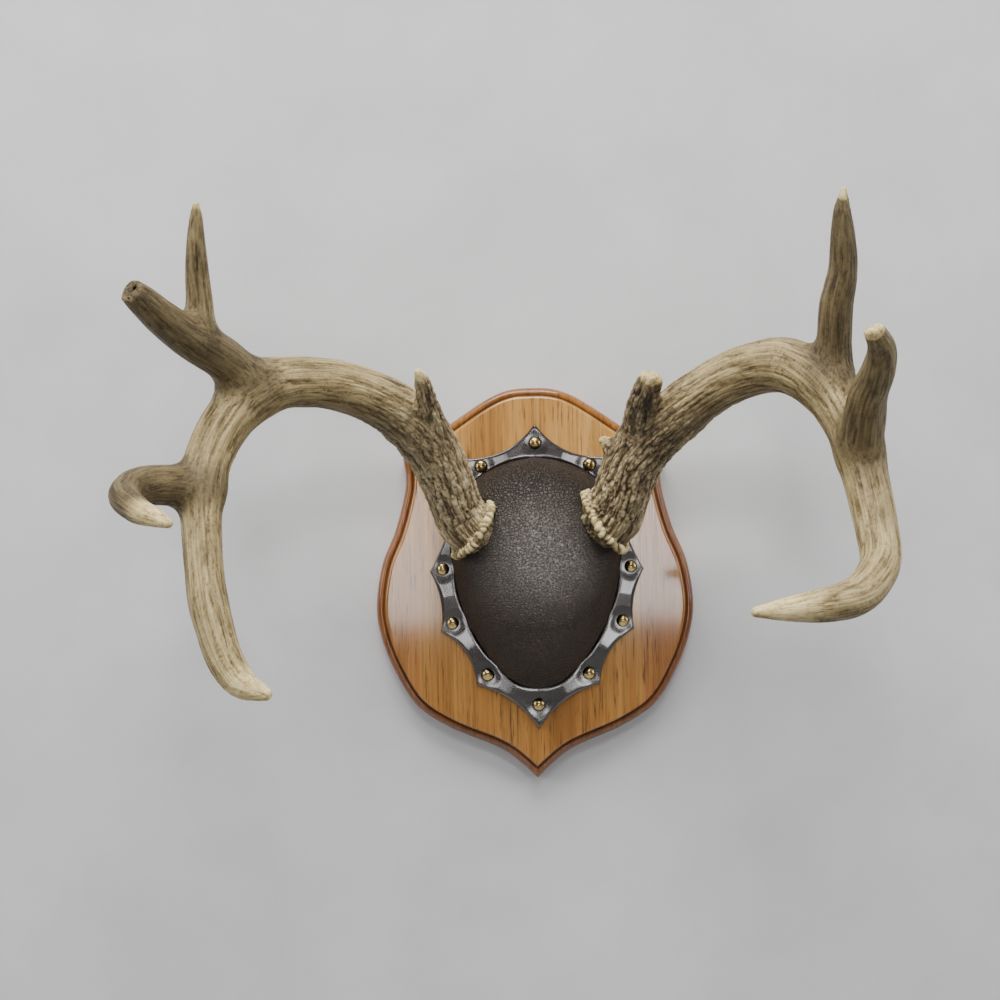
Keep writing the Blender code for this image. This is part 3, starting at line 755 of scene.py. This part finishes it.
def trim_outline():
    half = []
    for start, end, sag in zip(TRIM_POINTS, TRIM_POINTS[1:], TRIM_SAGS):
        start = np.array(start)
        run = np.array(end) - start
        inwards = np.array([run[1], -run[0]]) / np.linalg.norm(run)
        for t in np.arange(30) / 30:
            half.append(start + run * t + inwards * (4 * sag * t * (1 - t)))
    half.append(np.array(TRIM_POINTS[-1]))
    return closed(np.array(half))


CENTRE = np.array([CAP_AXIS_X, CAP_CENTRE_Z])


def around_centre(radius, angles):
    return CENTRE + radius[:, None] * np.stack([np.sin(angles), np.cos(angles)], axis=1)


def make_cap(material):
    """The cap: a smooth pillow that swells up to each antler's burr."""
    angles = np.arange(360) * math.tau / 360
    edge = polar(cap_outline(), CENTRE, angles)
    rings = []
    slopes = np.radians(np.concatenate([[0, 1.5, 3.5, 6, 9], np.linspace(13, 89, 52)]))
    for slope in slopes:
        scale = math.cos(slope) ** CAP_EDGE_FULLNESS
        height = CAP_HEIGHT * (math.sin(slope) / math.sin(math.radians(89))) ** CAP_CROWN_FULLNESS
        flat = around_centre(edge * scale, angles)
        rings.append(ring_at(flat, CAP_BASE_Y - height * 0.985))
    cap = link("leather_cap", mesh_from_rings("leather_cap", rings))
    points = vertex_array(cap.data)
    normals = normal_array(cap.data)
    lift = layered_noise(points / 0.022, 41) * 0.0006
    body = fade(CAP_BASE_Y - points[:, 1], 0.0, 0.01)
    points += normals * (lift * body)[:, None]
    move_vertices(cap.data, points)
    finished(cap, material, ["leather_dome"])


def trim_angles():
    """Even angles round the collar, and one at each of its points."""
    points = np.array([math.atan2(x, z - CAP_CENTRE_Z) for x, z in TRIM_POINTS])
    even = np.linspace(-math.pi, math.pi, 840, endpoint=False)
    angles = np.unique(np.concatenate([even, points, -points]).round(5))
    return angles[angles < math.pi - 1e-4]


def make_trim(material):
    """The scalloped collar: it rises between the nails and is pressed down under them."""
    angles = trim_angles()
    outer = polar(trim_outline(), CENTRE, angles)
    inner = polar(cap_outline(), CENTRE, angles) + CUT_GAP
    nails = nail_places()
    base_y = TRIM_HIGH.y
    rings = []
    steps = np.concatenate([[0.0, 0.02, 0.04, 0.07], np.linspace(0.1, 0.95, 18), [0.98, 1.0]])
    for across in steps:
        flat = around_centre(outer + (inner - outer) * across, angles)
        gap = np.min([np.linalg.norm(flat - nail, axis=1) for nail in nails], axis=0)
        edge_round = 1 - 0.6 * (1 - min(1.0, across / 0.06)) ** 2
        plateau = 1 - (1 - math.sin(math.pi * across)) ** 4
        swell = (0.0003 + 0.0006 * fade(gap, 0.004, 0.026)) * plateau
        dent = 0.0004 * (1 - fade(gap, 0.0045, 0.012))
        rings.append(ring_at(flat, base_y - (TRIM_THICKNESS * edge_round + swell - dent)))
    for across in (1.0, 0.5, 0.0):
        flat = around_centre(outer + (inner - outer) * across, angles)
        rings.append(ring_at(flat, base_y))
    trim = link("trim_strip", mesh_from_rings("trim_strip", rings, looped=True))
    trim.data.set_sharp_from_angle(angle=math.radians(60))
    finished(trim, material, ["scalloped_trim"])


def nail_names():
    return sorted(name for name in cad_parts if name.startswith("brass_nail_"))


def nail_places():
    """The middle of each nail, as (x, z), from its CAD node."""
    places = []
    for name in nail_names():
        low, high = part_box(name)
        places.append(np.array([(low.x + high.x) / 2, (low.z + high.z) / 2]))
    return places


def make_nails(material):
    """Domed heads with a rolled rim, each tilted a little differently and sized from its CAD node.
    """
    head_y = TRIM_LOW.y
    for number, (name, place) in enumerate(zip(nail_names(), nail_places())):
        low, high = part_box(name)
        radius = (high.x - low.x) / 2 * 1.02
        rise = head_y - low.y
        profile = [(radius * 0.25, 0.0045), (radius * 0.25, 0.0008), (radius * 0.9, 0.0006),
                   (radius, 0.0001), (radius * 0.985, -0.0004)]
        for step in range(1, 9):
            slope = math.radians(10 + step * 9.4)
            profile.append((radius * 0.97 * math.cos(slope), -rise * math.sin(slope)))
        rings = [ring_at(circle(r, 0, 0, 32), y) for r, y in profile]
        nail = link(f"nail_{number + 1:02d}", mesh_from_rings("nail", rings))
        heights = vertex_array(nail.data)[:, 1]
        # Painted shade, from nearly black at the foot of the head to none near its top.
        store(nail.data, "rim", 1 - fade(-heights, rise * 0.15, rise * 0.8))
        tilt = Matrix.Rotation(math.radians(3) * math.sin(number * 2.3), 4, "X")
        nail.data.transform(Matrix.Translation((place[0], head_y, place[1])) @ tilt)
        finished(nail, material, [name])


# ---- antlers

class Burr:
    """The coronet at an antler's root: a disc with a rounded edge."""

    def __init__(self, centre, normal, radius):
        self.centre = np.array(centre)
        self.normal = np.array(normal) / np.linalg.norm(normal)
        self.radius = radius

    def place(self, points):
        """How far points lie along the disc's axis and out from it."""
        offset = points - self.centre
        axial = offset @ self.normal
        radial = np.linalg.norm(offset - axial[:, None] * self.normal, axis=1)
        return axial, radial

    def distance(self, points):
        axial, radial = self.place(points)
        out = radial - (self.radius - BURR_EDGE)
        over = np.abs(axial) - (BURR_HALF_THICKNESS - BURR_EDGE)
        outside = np.hypot(np.maximum(out, 0), np.maximum(over, 0))
        return outside + np.minimum(np.maximum(out, over), 0) - BURR_EDGE

    def rings(self, count=40):
        """Two rings that bound the disc."""
        side = np.cross(self.normal, [0.0, 0.0, 1.0])
        side /= np.linalg.norm(side)
        up = np.cross(self.normal, side)
        angles = np.arange(count)[:, None] * math.tau / count
        ring = self.centre + self.radius * (np.cos(angles) * side + np.sin(angles) * up)
        return [ring - self.normal * BURR_HALF_THICKNESS, ring + self.normal * BURR_HALF_THICKNESS]


class Branch:
    """A beam or tine: a smooth path with a radius, and a frame carried along it.

    The end is round, broken or hollow; a broken one is cut square to the direction cut. beaded is
    1 where bark reaches the tip, cream the pale tip's length, and dark how much darker it is.
    """

    def __init__(self, stations, flow, fillet=0.007, end="round", cut=None,
                 beaded=0.0, cream=0.0, dark=0.0):
        path = smooth_path(stations, PATH_STEPS)
        self.flow = flow
        self.fillet = fillet
        self.end = end
        self.beaded = beaded
        self.cream = cream
        self.dark = dark
        self.centres = path[:, :3]
        self.radii = path[:, 3]
        self.runs = np.diff(self.centres, axis=0)
        self.lengths = np.linalg.norm(self.runs, axis=1)
        self.arcs = np.concatenate([[0], np.cumsum(self.lengths)])
        self.length = self.arcs[-1]
        tangents = np.gradient(self.centres, axis=0)
        tangents /= np.linalg.norm(tangents, axis=1)[:, None]
        self.end_tangent = tangents[-1]
        self.cut = self.end_tangent if cut is None else np.array(cut) / np.linalg.norm(cut)
        across = np.cross(tangents[0], [0.31, 0.92, 0.23])
        sides = []
        for tangent in tangents:
            across = across - tangent * np.dot(across, tangent)
            across = across / np.linalg.norm(across)
            sides.append(across)
        self.sides = np.array(sides)
        self.ups = np.cross(tangents, self.sides)

    def relief(self, unrolled):
        """Height, tone and smoothness at points unrolled along the branch."""
        if self.flow == "main":
            return beam_relief(unrolled)
        return tine_relief(unrolled, self.length, self.beaded)

    def paleness(self, unrolled):
        """1 on the cream tip and 0 before it, with a ragged border."""
        if not self.cream:
            return 0.0
        ragged = 0.004 * layered_noise(unrolled / 0.006, 91)
        start = self.length - self.cream
        return fade(unrolled[:, 2] + ragged, start, start + 0.7 * self.cream)

    def end_pit(self, points):
        """1 in the middle of a broken end's core, 0 away from it."""
        axis_gap = np.linalg.norm(points - self.centres[-1] - self.end_tangent * 0.002, axis=1)
        return np.exp(-(axis_gap / (self.radii[-1] * 0.4)) ** 2)

    def rings(self, count=28):
        """Rings of a tube along the branch, rounded past its end."""
        angles = np.arange(count) * math.tau / count
        rings = []
        for centre, radius, side, up in zip(self.centres, self.radii, self.sides, self.ups):
            round_part = np.cos(angles)[:, None] * side + np.sin(angles)[:, None] * up
            rings.append(centre + radius * round_part)
        tip = centre + self.end_tangent * radius * 0.6
        rings.append(tip + radius * 0.7 * round_part)
        return rings

    def measure(self, points, reach=0.03):
        """Each point's distance to the surface, and its place unrolled along the branch."""
        distance = np.full(len(points), reach)
        unrolled = np.zeros((len(points), 3))
        margin = reach + self.radii.max()
        low = self.centres.min(axis=0) - margin
        high = self.centres.max(axis=0) + margin
        near = np.flatnonzero(np.all((points > low) & (points < high), axis=1))
        for chunk in np.array_split(near, max(1, len(near) // 6000)):
            offset = points[chunk][:, None, :] - self.centres[None, :-1, :]
            along = np.einsum("ijk,jk->ij", offset, self.runs) / self.lengths ** 2
            along = np.clip(along, 0, 1)
            offset -= along[:, :, None] * self.runs
            radius = self.radii[:-1] + along * np.diff(self.radii)
            gap = np.sqrt(np.einsum("ijk,ijk->ij", offset, offset)) - radius
            best = np.argmin(gap, axis=1)
            rows = np.arange(len(chunk))
            part = along[rows, best]
            offset = offset[rows, best]
            side = self.sides[best] + (self.sides[best + 1] - self.sides[best]) * part[:, None]
            up = self.ups[best] + (self.ups[best + 1] - self.ups[best]) * part[:, None]
            unrolled[chunk, 0] = np.sum(offset * side, axis=1)
            unrolled[chunk, 1] = np.sum(offset * up, axis=1)
            unrolled[chunk, 2] = self.arcs[best] + part * self.lengths[best]
            distance[chunk] = gap[rows, best]
        if self.end != "round":
            past = (points - self.centres[-1]) @ self.cut - self.radii[-1] * 0.35
            ragged = 0.0016 * layered_noise(points / 0.004, 83, 2)
            distance = np.where(past > -0.002, -joined(-distance, -past - ragged, 0.0025), distance)
        return distance, unrolled


def joined(first, second, fillet):
    """The distance to two shapes joined with a smooth fillet."""
    part = np.clip(0.5 + 0.5 * (second - first) / fillet, 0, 1)
    return second + (first - second) * part - fillet * part * (1 - part)


def skin_distance(branches, burr, points):
    """The distance to the burr and all the branches together."""
    total = joined(branches[0].measure(points)[0], burr.distance(points), BURR_FILLET)
    for branch in branches[1:]:
        total = joined(total, branch.measure(points)[0], branch.fillet)
    return total


def draw_to_surface(branches, burr, points, rounds):
    """Moves points onto the branches' filleted surface."""
    step = 0.0004
    for _ in range(rounds):
        here = skin_distance(branches, burr, points)
        slope = np.empty_like(points)
        for axis in range(3):
            moved = points.copy()
            moved[:, axis] += step
            slope[:, axis] = (skin_distance(branches, burr, moved) - here) / step
        steepness = np.maximum(np.sum(slope ** 2, axis=1), 0.3)
        points = points - slope * (np.clip(here, -0.003, 0.003) / steepness)[:, None]
    return points


def refine(mesh, chosen):
    """Splits the faces between chosen vertices in four."""
    shape = bmesh.new()
    shape.from_mesh(mesh)
    edges = [edge for edge in shape.edges if all(chosen[vert.index] for vert in edge.verts)]
    bmesh.ops.subdivide_edges(shape, edges=edges, cuts=1, use_grid_fill=True)
    shape.to_mesh(mesh)
    shape.free()


def antler_skin(name, branches, burr):
    """One closed skin over the burr and the branches, finer where the bark is rough."""
    shape = bmesh.new()
    for part in (burr, *branches):
        shape.from_mesh(mesh_from_rings("tube", part.rings()))
    mesh = bpy.data.meshes.new(name)
    shape.to_mesh(mesh)
    shape.free()
    skin = link(name, mesh)
    remesh = skin.modifiers.new("remesh", "REMESH")
    remesh.mode = "VOXEL"
    remesh.voxel_size = SKIN_VOXEL
    replace_with_evaluated(skin)
    points = vertex_array(skin.data)
    gap, unrolled = branches[0].measure(points)
    refine(skin.data, (gap < 0.025) & (unrolled[:, 2] < ROUGH_LENGTH))
    move_vertices(skin.data, draw_to_surface(branches, burr, vertex_array(skin.data), 2))
    skin.data.shade_smooth()
    return skin


def grooved(unrolled, across, along, seed):
    """Ridges that run along a branch: 0 in the cracks between them, near 1 on their tops."""
    warp = layered_noise(unrolled / [0.01, 0.01, 0.018], seed)[:, None] * [0.0016, 0.0016, 0]
    field = layered_noise((unrolled + warp) / [across, across, along], seed + 5, 3)
    return 1 - np.exp(-np.abs(field) / 0.14)


def beam_relief(unrolled):
    """A main beam's height, paleness and smoothness: bark near the burr, smoother beyond."""
    along = unrolled[:, 2]
    bark = grooved(unrolled, 0.0044, 0.019, 11)
    grain = grooved(unrolled, 0.0034, 0.052, 17)
    pearls = pebbles(unrolled / [0.0031, 0.0031, 0.0068], 23)
    small_pearls = pebbles(unrolled / [0.0018, 0.0018, 0.0032], 29)
    rough = 1 - fade(along, 0.075, 0.19)
    worn = 1 - fade(along, 0.2, 0.42)
    bark_height = 1.9 * (bark - 0.6) + 1.5 * (pearls - 0.5) + 0.5 * (small_pearls - 0.5)
    grain_height = (grain - 0.6) * (0.25 + 0.75 * worn)
    height = rough * bark_height + (1 - rough) * grain_height
    bark_tone = 0.1 + 0.38 * bark + 0.52 * pearls * bark + 0.24 * small_pearls
    grain_tone = 0.22 + 0.46 * grain
    tone = rough * bark_tone + (1 - rough) * grain_tone
    tone += 0.08 * fade(along, 0.22, 0.4)
    return height * MM, tone, 1 - rough


def tine_relief(unrolled, length, beaded):
    """A tine's height, paleness and smoothness; a beaded one carries bark nearly to its tip."""
    part = unrolled[:, 2] / length
    grain = grooved(unrolled, 0.0036, 0.036, 31)
    bark = grooved(unrolled, 0.004, 0.016, 37)
    pearls = pebbles(unrolled / [0.003, 0.003, 0.006], 53)
    rough = beaded * (1 - 0.4 * fade(part, 0.8, 1.0))
    smooth = 1 - 0.7 * fade(part, 0.4, 0.9)
    grain_height = (grain - 0.6) * 0.45 * smooth
    bark_height = 1.3 * (bark - 0.6) + 1.2 * (pearls - 0.5)
    height = (1 - rough) * grain_height + rough * bark_height
    tone = (1 - rough) * (0.3 + 0.34 * grain) + rough * (0.1 + 0.36 * bark + 0.48 * pearls * bark)
    return height * MM, tone, 1 - rough


def burr_knobs(burr, points, unrolled):
    """The burr's single row of pearls, each of its own size: height from 0 to 1."""
    turn = np.arctan2(unrolled[:, 1], unrolled[:, 0])
    row = turn * BURR_PEARLS / math.tau + 0.7 * smooth_noise(points / 0.006, 61)
    cell = np.floor(row).astype(np.int64) % BURR_PEARLS
    across = 2 * (row - np.floor(row)) - 1
    size = 0.35 + 0.65 * cell_random(np.stack([cell, cell * 3, cell * 7], axis=1), 67)
    shift = 0.0016 * (cell_random(np.stack([cell, cell * 5, cell], axis=1), 71) - 0.5)
    axial, radial = burr.place(points)
    row_width = np.exp(-((axial - shift) / 0.0026) ** 2)
    rim = fade(radial, burr.radius - 0.005, burr.radius - 0.002)
    large = size * np.sqrt(np.clip(1 - across ** 2, 0, 1)) * row_width
    small = 0.75 * pebbles(points / 0.0036, 97) * np.exp(-((axial - 0.0015) / 0.0038) ** 2)
    return np.maximum(large, small) * rim


def branch_looks(branches, measured):
    """Height, tone, smoothness, darkening and paleness, blended by how near each branch is."""
    gaps = np.stack([gap for gap, _ in measured])
    weights = np.exp(-(gaps - gaps.min(axis=0)) / BLEND_LENGTH)
    weights /= weights.sum(axis=0)
    names = ("height", "tone", "smooth", "dark", "cream")
    looks = {name: np.zeros(gaps.shape[1]) for name in names}
    for branch, weight, (gap, unrolled) in zip(branches, weights, measured):
        height, tone, smooth = branch.relief(unrolled)
        looks["height"] += weight * height
        looks["tone"] += weight * tone
        looks["smooth"] += weight * smooth
        looks["cream"] += weight * branch.paleness(unrolled)
        darkening = branch.dark * (1 - fade(gap, 0.001, 0.013))
        looks["dark"] = np.maximum(looks["dark"], darkening)
    return looks, weights


def add_burr(looks, burr, points, unrolled):
    """Puts the burr's pearls in place of the bark, pale on their tops."""
    knobs = burr_knobs(burr, points, unrolled)
    near_burr = 1 - fade(burr.distance(points), 0.0, 0.0012)
    looks["height"] = looks["height"] * (1 - near_burr) + knobs * BURR_RELIEF
    looks["tone"] = np.maximum(looks["tone"] * (1 - 0.5 * near_burr), 1.1 * knobs)
    looks["cream"] = np.maximum(looks["cream"], fade(knobs, 0.2, 0.55) * 0.9)


def add_pit(looks, pit):
    """Sinks and darkens the core of a hollow end."""
    looks["height"] -= pit * PIT_DEPTH
    looks["tone"] *= 1 - 0.9 * pit
    looks["cream"] *= 1 - pit
    looks["dark"] = np.maximum(looks["dark"], pit)


def store_flows(mesh, branches, measured, weights):
    """Stores each flow's unrolled places and its share, for streaks along the branches."""
    for name in FLOWS:
        flow = np.zeros((len(mesh.vertices), 3))
        share = np.zeros(len(mesh.vertices))
        for branch, weight, (_, unrolled) in zip(branches, weights, measured):
            if branch.flow == name:
                strongest = share < weight
                flow[strongest] = unrolled[strongest]
                share += weight
        store(mesh, f"flow_{name}", flow)
        store(mesh, f"share_{name}", np.clip(share, 0, 1))


def dress_antler(skin, branches, burr, painted_bark_light):
    """Displaces the skin with relief and stores what the material reads."""
    points = vertex_array(skin.data)
    normals = normal_array(skin.data)
    measured = [branch.measure(points) for branch in branches]
    looks, weights = branch_looks(branches, measured)
    # Painted shade: faces that point down are darkened, standing in for the shade under the beams
    # and tines.
    under = UNDERSIDE_PAINTED_SHADE * fade(-normals[:, 2], 0.15, 0.95)
    looks["dark"] = np.maximum(looks["dark"], under)
    # Painted light: the rough bark is made lighter by the given amount.
    looks["tone"] += painted_bark_light * (1 - looks["smooth"])
    add_burr(looks, burr, points, measured[0][1])
    for branch in branches:
        if branch.end == "hollow":
            add_pit(looks, branch.end_pit(points))
    lumps = layered_noise(points / 0.02, 5, 2) * LUMP_HEIGHT
    move_vertices(skin.data, points + normals * (looks.pop("height") + lumps)[:, None])
    for name, values in looks.items():
        store(skin.data, name, values)
    store_flows(skin.data, branches, measured, weights)


def make_antler(name, branches, burr, painted_bark_light, material, nodes):
    skin = antler_skin(name, branches, burr)
    dress_antler(skin, branches, burr, painted_bark_light)
    finished(skin, material, nodes)


def make_antlers(material):
    left = [
        Branch(LEFT_BEAM, "main", cream=0.034),
        Branch(LEFT_BROW, "tine", beaded=1.0, cream=0.008, dark=0.1),
        Branch(LEFT_SECOND, "tine", fillet=0.016, end="hollow", dark=0.9),
        Branch(LEFT_FORK, "fork", fillet=0.008, cream=0.006, dark=0.4),
        Branch(LEFT_THIRD, "tine", fillet=0.01, cream=0.04, dark=0.95),
    ]
    # The left antler's rough bark gets painted light.
    make_antler("left_antler", left, Burr(*LEFT_BURR), 0.17, material, [
        "left_main_beam", "left_brow_tine", "left_second_tine", "left_second_tine_fork",
        "left_third_tine",
    ])
    right = [
        Branch(RIGHT_BEAM, "main", cream=0.052),
        Branch(RIGHT_BROW, "tine", end="broken", cut=(0.3, -0.3, 0.9), beaded=1.0,
               cream=0.003, dark=0.1),
        Branch(RIGHT_SECOND, "tine", fillet=0.012, cream=0.01, dark=0.95),
        Branch(RIGHT_THIRD, "tine", fillet=0.01, end="broken", cut=(-0.35, -0.25, 0.9),
               cream=0.003, dark=0.7),
        Branch(RIGHT_SPUR, "fork", fillet=0.005, beaded=1.0, cream=0.005, dark=0.1),
    ]
    make_antler("right_antler", right, Burr(*RIGHT_BURR), 0.0, material, [
        "right_main_beam", "right_brow_tine", "right_second_tine", "right_third_tine",
    ])


# ---- stage

def add_plane(name, size, location, tilt, material):
    bpy.ops.mesh.primitive_plane_add(size=size, location=location, rotation=(tilt, 0, 0))
    plane = bpy.context.object
    plane.name = name
    plane.data.materials.append(material)
    return plane


def make_stage():
    """A pale wall behind the shield, clear when seen from behind, and a pale floor."""
    material, tree, shader, place = new_material("pale_wall")
    mottle = noise(tree, place, 9.0, 4.0, 0.6)
    plug(shader, Base_Color=ramp(tree, mottle, [(0.3, 0.6), (0.7, 0.68)]), Roughness=0.9)
    behind = node(tree, "NewGeometry").outputs["Backfacing"]
    clear = node(tree, "BsdfTransparent").outputs[0]
    inputs = {0: behind, 1: shader.outputs[0], 2: clear}
    both = node(tree, "MixShader", inputs).outputs[0]
    tree.links.new(both, tree.nodes["Material Output"].inputs["Surface"])
    wall = add_plane("stage_wall", 6, (0, WALL_Y, 1.9), math.radians(90), material)
    wall.visible_shadow = False
    material, _, shader, _ = new_material("pale_floor")
    plug(shader, Base_Color=(0.66, 0.66, 0.65, 1), Roughness=0.8)
    floor = add_plane("stage_floor", 12, (0, 0, FLOOR_Z), 0, material)
    floor.visible_diffuse = False


def add_area(name, place, target, size, power, colour):
    light = bpy.data.lights.new(name, "AREA")
    light.shape = "RECTANGLE"
    light.size, light.size_y = size
    light.energy = power
    light.color = colour
    lamp = link(name, light)
    lamp.location = place
    lamp.rotation_euler = (Vector(target) - Vector(place)).to_track_quat("-Z", "Y").to_euler()


def make_lights():
    for light in LIGHTS:
        add_area(*light)
    world = bpy.data.worlds.new("soft_daylight")
    world.use_nodes = True
    tree = world.node_tree
    heading = node(tree, "TexCoord").outputs["Generated"]
    up = node(tree, "SeparateXYZ", {0: heading}).outputs[2]
    sky = ramp(tree, maths(tree, "MULTIPLY_ADD", up, 0.5, 0.5), [
        (0.25, (0.03, 0.03, 0.03)), (0.5, (0.16, 0.163, 0.166)), (0.85, (0.52, 0.54, 0.56)),
    ])
    tree.links.new(sky, tree.nodes["Background"].inputs[0])
    bpy.context.scene.world = world


def make_camera():
    """The camera stands square to the wall, turned very slightly clockwise."""
    camera = bpy.data.cameras.new("camera")
    camera.sensor_width = SENSOR_WIDTH
    camera.lens = LENS
    eye = link("camera", camera)
    eye.rotation_mode = "QUATERNION"
    turn = Matrix.Rotation(math.radians(90), 4, "X") @ Matrix.Rotation(EYE_ROLL, 4, "Z")
    eye.location = EYE
    eye.rotation_quaternion = turn.to_quaternion()
    bpy.context.scene.camera = eye


def dress_hardware(material):
    """The steel pieces keep their CAD shapes."""
    for name in ("keyhole_plate", "upper_plate_screw", "lower_plate_screw", "upper_cap_screw",
                 "lower_cap_screw", "left_antler_stud", "right_antler_stud"):
        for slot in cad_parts[name].material_slots:
            slot.material = material


def main():
    make_camera()
    make_lights()
    make_stage()
    make_plaque(wood_material())
    make_cap(cap_leather_material())
    make_trim(trim_leather_material())
    make_nails(brass_material())
    make_antlers(antler_material())
    dress_hardware(steel_material())
    bpy.context.view_layer.update()


main()
